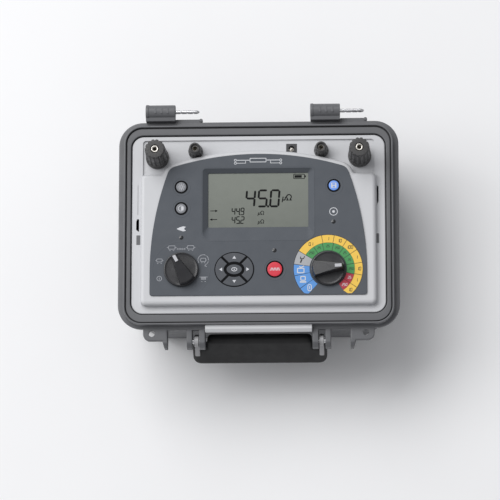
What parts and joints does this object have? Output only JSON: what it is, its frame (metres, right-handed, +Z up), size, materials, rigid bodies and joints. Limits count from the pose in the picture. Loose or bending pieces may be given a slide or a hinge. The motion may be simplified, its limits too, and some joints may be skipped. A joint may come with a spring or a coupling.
{
  "type": "four-terminal low resistance tester",
  "caption": "Portable low resistance tester in a rugged grey case base: display panel, two rotary knobs, keypad, screw terminals and a folding handle.",
  "frame": {"origin": "middle of the overall footprint, on the surface that the rubber feet stand on", "axes": "+X to the right of someone facing the front, +Y to the back where the lid's hinges are, +Z up out of the panel"},
  "size_m": [0.315, 0.2865, 0.164],
  "materials": {
    "case_grey": "textured moulded polypropylene",
    "gasket": "matt rubber cord",
    "steel": "bright plated steel",
    "label_grey": "satin light grey",
    "rubber_black": "matt rubber",
    "panel_grey": "fine spark-eroded light grey",
    "facia": "printed matt dark grey",
    "glass": "clear window",
    "lcd": "reflective liquid crystal display",
    "circuit_board": "solder masked",
    "switch_black": "satin",
    "led_lens": "dark tinted lens",
    "post_black": "satin moulded",
    "plated_brass": "nickel plated brass",
    "battery": "shrink sleeve",
    "dark_alloy": "black anodised",
    "copper": "bare copper",
    "handle_grey": "glass filled nylon",
    "soft_grip": "soft-touch overmould",
    "knob_black": "satin black",
    "pointer_grey": "light grey insert",
    "key_grey": "silicone key",
    "key_blue": "silicone key",
    "key_red": "silicone key"
  },
  "bodies": {
    "case": {"case_base": "case_grey", "rim_gasket": "gasket", "hinge_pins": "steel", "chin_plate": "label_grey", "handle_pins": "steel", "rubber_feet": "rubber_black", "case_screws": "steel", "panel": "panel_grey", "panel_gasket": "gasket", "facia_overlay": "facia", "display_bezel": "facia", "display_window": "glass", "lcd_module": "lcd", "front_board": "circuit_board", "key_switches": "steel", "keypad_membrane": "rubber_black", "status_leds": "led_lens", "mode_switch": "switch_black", "range_switch": "switch_black", "terminal_bases": "post_black", "terminal_studs": "plated_brass", "terminal_backnuts": "steel", "dc_jack": "switch_black", "main_board": "circuit_board", "board_standoffs": "plated_brass", "board_screws": "steel", "battery_pack": "battery", "battery_bracket": "steel", "power_module": "dark_alloy", "output_choke": "copper", "current_shunt": "copper", "current_busbars": "copper"},
    "handle": {"handle_frame": "handle_grey", "handle_grip": "soft_grip"},
    "mode_dial": {"mode_knob": "knob_black", "mode_pointer": "pointer_grey", "mode_shaft": "steel"},
    "range_dial": {"range_knob": "knob_black", "range_pointer": "pointer_grey", "range_shaft": "steel"},
    "backlight_key": {"key_backlight": "key_grey"},
    "contrast_key": {"key_contrast": "key_grey"},
    "save_key": {"key_save": "key_blue"},
    "test_key": {"key_test": "key_red"},
    "up_key": {"key_up": "key_grey"},
    "down_key": {"key_down": "key_grey"},
    "left_key": {"key_left": "key_grey"},
    "right_key": {"key_right": "key_grey"},
    "ok_key": {"key_ok": "key_grey"},
    "c1_clamp": {"c1_washer": "steel"},
    "c1_cap": {"c1_nut": "post_black"},
    "p1_clamp": {"p1_washer": "steel"},
    "p1_cap": {"p1_nut": "post_black"},
    "p2_clamp": {"p2_washer": "steel"},
    "p2_cap": {"p2_nut": "post_black"},
    "c2_clamp": {"c2_washer": "steel"},
    "c2_cap": {"c2_nut": "post_black"}
  },
  "joints": [
    {"name": "handle_swing", "type": "hinge", "parent": "case", "child": "handle", "pos_m": [0, -0.1258, 0.107], "axis": [-1, 0, 0], "range_deg": [0, 95]},
    {"name": "mode_turn", "type": "hinge", "parent": "case", "child": "mode_dial", "pos_m": [-0.0858, -0.0488, 0.1315], "axis": [0, 0, 1], "range_deg": [-135, 90]},
    {"name": "range_turn", "type": "hinge", "parent": "case", "child": "range_dial", "pos_m": [0.0779, -0.0488, 0.1315], "axis": [0, 0, 1], "range_deg": [-49, 222]},
    {"name": "backlight_press", "type": "slide", "parent": "case", "child": "backlight_key", "axis": [0, 0, -1], "range_m": [0, 0.0009], "stiffness_N_per_m": 600, "springref_m": -0.0004},
    {"name": "contrast_press", "type": "slide", "parent": "case", "child": "contrast_key", "axis": [0, 0, -1], "range_m": [0, 0.0009], "stiffness_N_per_m": 600, "springref_m": -0.0004},
    {"name": "save_press", "type": "slide", "parent": "case", "child": "save_key", "axis": [0, 0, -1], "range_m": [0, 0.0009], "stiffness_N_per_m": 600, "springref_m": -0.0004},
    {"name": "test_press", "type": "slide", "parent": "case", "child": "test_key", "axis": [0, 0, -1], "range_m": [0, 0.0009], "stiffness_N_per_m": 600, "springref_m": -0.0004},
    {"name": "up_press", "type": "slide", "parent": "case", "child": "up_key", "axis": [0, 0, -1], "range_m": [0, 0.0009], "stiffness_N_per_m": 600, "springref_m": -0.0004},
    {"name": "down_press", "type": "slide", "parent": "case", "child": "down_key", "axis": [0, 0, -1], "range_m": [0, 0.0009], "stiffness_N_per_m": 600, "springref_m": -0.0004},
    {"name": "left_press", "type": "slide", "parent": "case", "child": "left_key", "axis": [0, 0, -1], "range_m": [0, 0.0009], "stiffness_N_per_m": 600, "springref_m": -0.0004},
    {"name": "right_press", "type": "slide", "parent": "case", "child": "right_key", "axis": [0, 0, -1], "range_m": [0, 0.0009], "stiffness_N_per_m": 600, "springref_m": -0.0004},
    {"name": "ok_press", "type": "slide", "parent": "case", "child": "ok_key", "axis": [0, 0, -1], "range_m": [0, 0.0009], "stiffness_N_per_m": 600, "springref_m": -0.0004},
    {"name": "c1_lift", "type": "slide", "parent": "case", "child": "c1_clamp", "axis": [0, 0, 1], "range_m": [0, 0.0024]},
    {"name": "c1_unscrew", "type": "hinge", "parent": "c1_clamp", "child": "c1_cap", "pos_m": [-0.1137, 0.0822, 0.13], "axis": [0, 0, 1], "range_deg": [0, 1080]},
    {"name": "p1_lift", "type": "slide", "parent": "case", "child": "p1_clamp", "axis": [0, 0, 1], "range_m": [0, 0.0024]},
    {"name": "p1_unscrew", "type": "hinge", "parent": "p1_clamp", "child": "p1_cap", "pos_m": [-0.0707, 0.089, 0.13], "axis": [0, 0, 1], "range_deg": [0, 1080]},
    {"name": "p2_lift", "type": "slide", "parent": "case", "child": "p2_clamp", "axis": [0, 0, 1], "range_m": [0, 0.0024]},
    {"name": "p2_unscrew", "type": "hinge", "parent": "p2_clamp", "child": "p2_cap", "pos_m": [0.0707, 0.089, 0.13], "axis": [0, 0, 1], "range_deg": [0, 1080]},
    {"name": "c2_lift", "type": "slide", "parent": "case", "child": "c2_clamp", "axis": [0, 0, 1], "range_m": [0, 0.0024]},
    {"name": "c2_unscrew", "type": "hinge", "parent": "c2_clamp", "child": "c2_cap", "pos_m": [0.1137, 0.0822, 0.13], "axis": [0, 0, 1], "range_deg": [0, 1080]}
  ],
  "couplings": [
    {"joint": "c1_lift", "follows": "c1_unscrew", "m_per_rad": 0.0001273},
    {"joint": "p1_lift", "follows": "p1_unscrew", "m_per_rad": 0.0001273},
    {"joint": "p2_lift", "follows": "p2_unscrew", "m_per_rad": 0.0001273},
    {"joint": "c2_lift", "follows": "c2_unscrew", "m_per_rad": 0.0001273}
  ]
}
